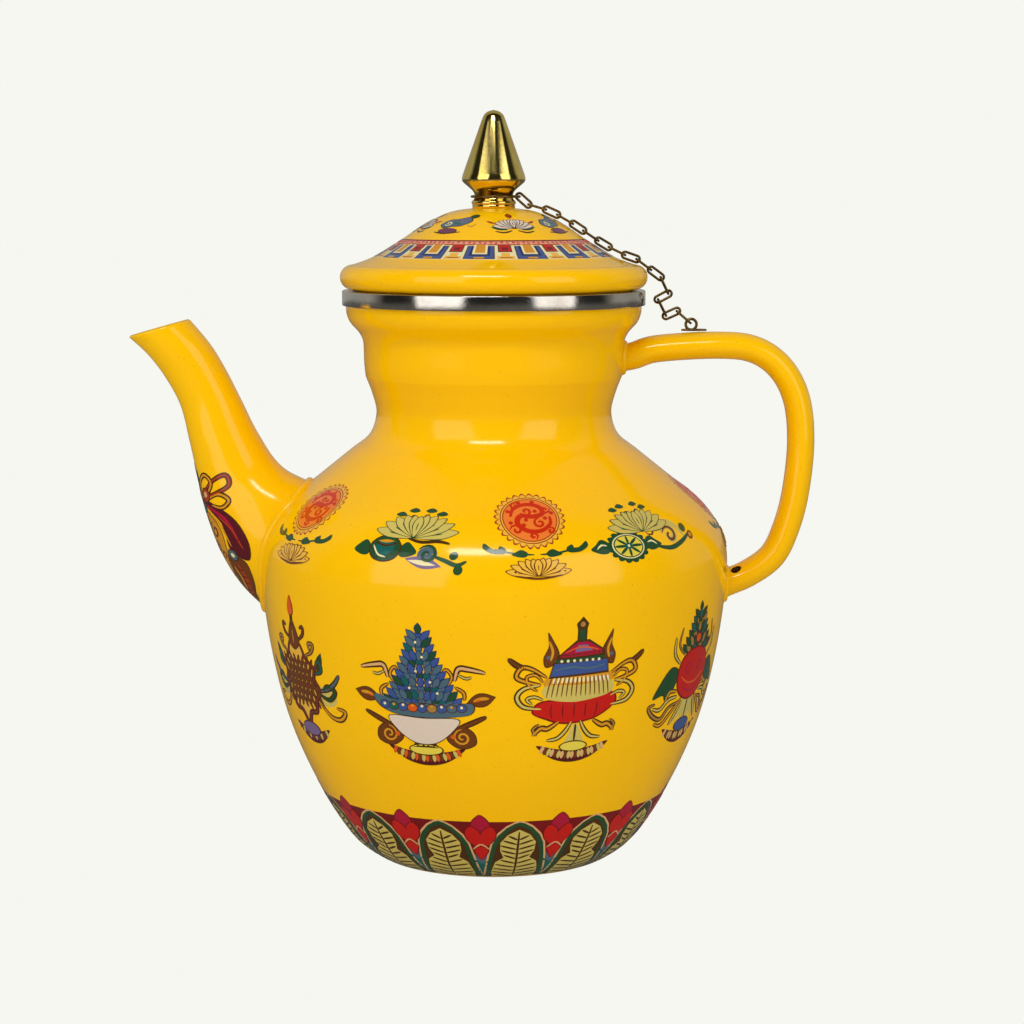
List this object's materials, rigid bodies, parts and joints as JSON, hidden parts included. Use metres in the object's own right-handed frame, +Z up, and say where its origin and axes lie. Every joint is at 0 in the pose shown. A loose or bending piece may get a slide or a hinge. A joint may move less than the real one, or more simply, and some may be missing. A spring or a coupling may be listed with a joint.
{
  "type": "tea kettle",
  "caption": "Enamelled steel tea kettle with a swelling belly, drum neck, upright spout, hollow loop handle and a domed lid tied to the handle by a chain.",
  "frame": {"origin": "centre of the flat base, where the kettle stands", "axes": "+Z up through the knob, +X towards the handle, -X towards the spout, -Y towards the viewer of the picture"},
  "size_m": [0.2419, 0.1652, 0.2632],
  "materials": {
    "enamel": "glossy porcelain enamel, yellow, with painted ornament",
    "steel": "polished stainless steel",
    "gilt": "polished gilt",
    "brass": "darkened brass wire",
    "zinc": "zinc plated"
  },
  "bodies": {
    "kettle": {"body_shell": "enamel", "rim_band": "steel", "spout": "enamel", "handle": "enamel", "chain_eye": "brass"},
    "lid": {"lid_shell": "enamel", "lid_skirt": "enamel", "knob": "gilt", "knob_washer": "gilt", "knob_screw": "zinc", "screw_washer": "zinc", "chain_ring": "brass", "chain_link_01": "brass", "chain_link_02": "brass", "chain_link_03": "brass", "chain_link_04": "brass", "chain_link_05": "brass", "chain_link_06": "brass", "chain_link_07": "brass", "chain_link_08": "brass", "chain_link_09": "brass", "chain_link_10": "brass"},
    "hanging_link_1": {"chain_link_11": "brass"},
    "hanging_link_2": {"chain_link_12": "brass"},
    "hanging_link_3": {"chain_link_13": "brass"},
    "hanging_link_4": {"chain_link_14": "brass"},
    "hanging_link_5": {"chain_link_15": "brass"},
    "hanging_link_6": {"chain_link_16": "brass"}
  },
  "joints": [
    {"name": "lid_lift", "type": "slide", "parent": "kettle", "child": "lid", "axis": [0, 0, 1], "range_m": [0, 0.0088]},
    {"name": "chain_bend_1", "type": "hinge", "parent": "lid", "child": "hanging_link_1", "pos_m": [0.0553, 0, 0.2076], "axis": [0, -1, 0], "range_deg": [-22.32, 1]},
    {"name": "chain_bend_2", "type": "hinge", "parent": "hanging_link_1", "child": "hanging_link_2", "pos_m": [0.05859, 0, 0.20515], "axis": [0, -1, 0], "range_deg": [-1, 21.21]},
    {"name": "chain_bend_3", "type": "hinge", "parent": "hanging_link_2", "child": "hanging_link_3", "pos_m": [0.06137, 0, 0.19927], "axis": [0, -1, 0], "range_deg": [-1, 61.22]},
    {"name": "chain_bend_4", "type": "hinge", "parent": "hanging_link_3", "child": "hanging_link_4", "pos_m": [0.05776, 0, 0.19733], "axis": [0, -1, 0], "range_deg": [-62.86, 1]},
    {"name": "chain_bend_5", "type": "hinge", "parent": "hanging_link_4", "child": "hanging_link_5", "pos_m": [0.06066, 0, 0.19151], "axis": [0, -1, 0], "range_deg": [-60.66, 1]},
    {"name": "chain_bend_6", "type": "hinge", "parent": "hanging_link_5", "child": "hanging_link_6", "pos_m": [0.06439, 0, 0.1932], "axis": [0, -1, 0], "range_deg": [-1, 46.95]}
  ],
  "couplings": [
    {"joint": "chain_bend_1", "follows": "lid_lift", "rad_per_m": -42.278},
    {"joint": "chain_bend_2", "follows": "lid_lift", "rad_per_m": 40.087},
    {"joint": "chain_bend_3", "follows": "lid_lift", "rad_per_m": 119.43},
    {"joint": "chain_bend_4", "follows": "lid_lift", "rad_per_m": -122.69},
    {"joint": "chain_bend_5", "follows": "lid_lift", "rad_per_m": -118.32},
    {"joint": "chain_bend_6", "follows": "lid_lift", "rad_per_m": 91.143}
  ]
}
